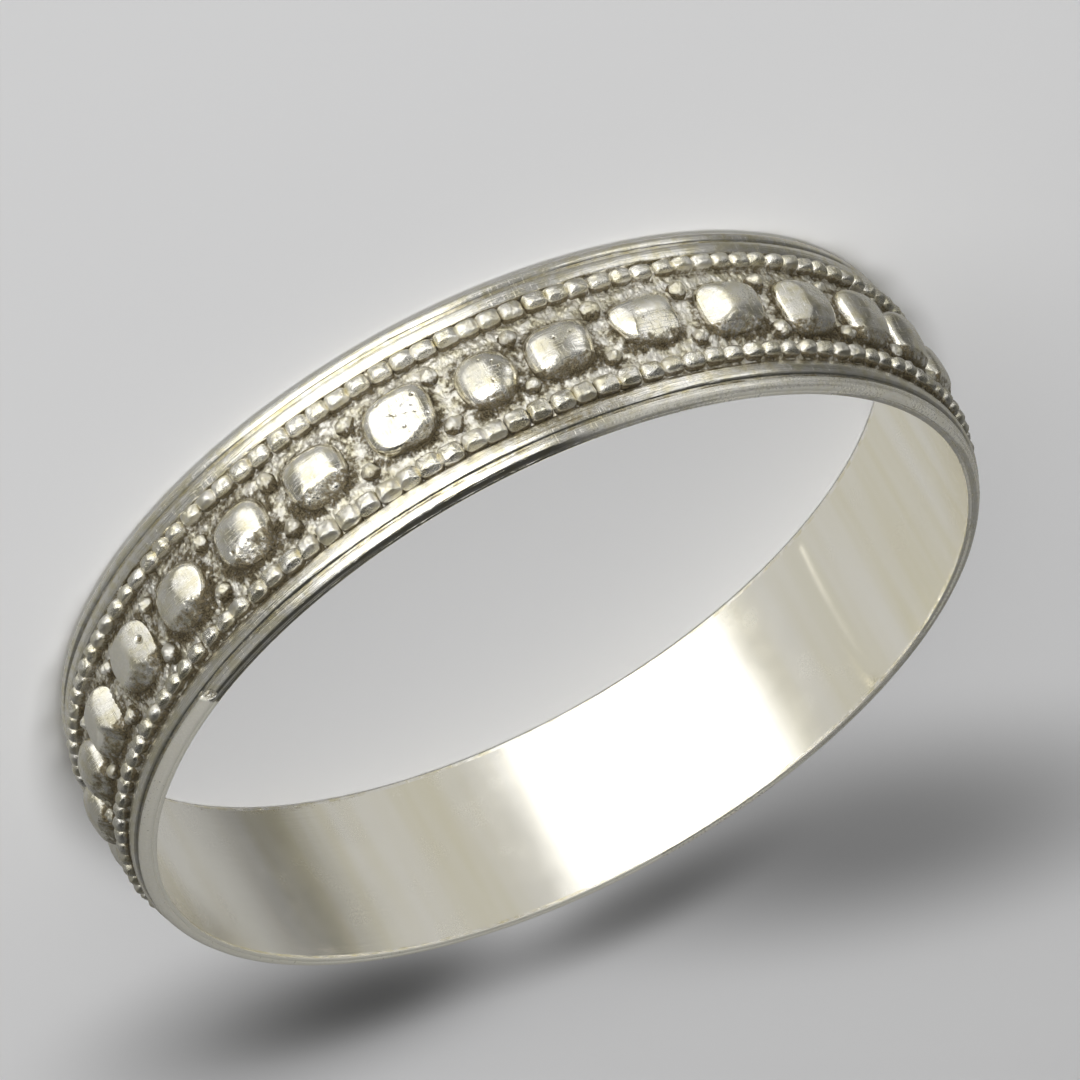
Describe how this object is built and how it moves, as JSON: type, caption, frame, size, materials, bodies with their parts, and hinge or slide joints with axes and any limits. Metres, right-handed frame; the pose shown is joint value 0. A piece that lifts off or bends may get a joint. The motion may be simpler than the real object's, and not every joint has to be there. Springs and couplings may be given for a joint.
{
  "type": "bangle",
  "caption": "Closed round silver bangle: smooth inner wall, ridged rims, a beaded wire inside each rim, and a row of cushion-shaped bosses with small granules between them.",
  "frame": {"origin": "middle of the circle on which the bangle rests, on the axis of the hoop", "axes": "+Z along the axis of the hoop, up from the edge that it lies on"},
  "size_m": [0.067, 0.067, 0.0136],
  "materials": {
    "silver": "old silver, polished by wear on the high spots and dark with tarnish in the recesses"
  },
  "bodies": {
    "root": {"bangle": "silver"}
  },
  "joints": []
}
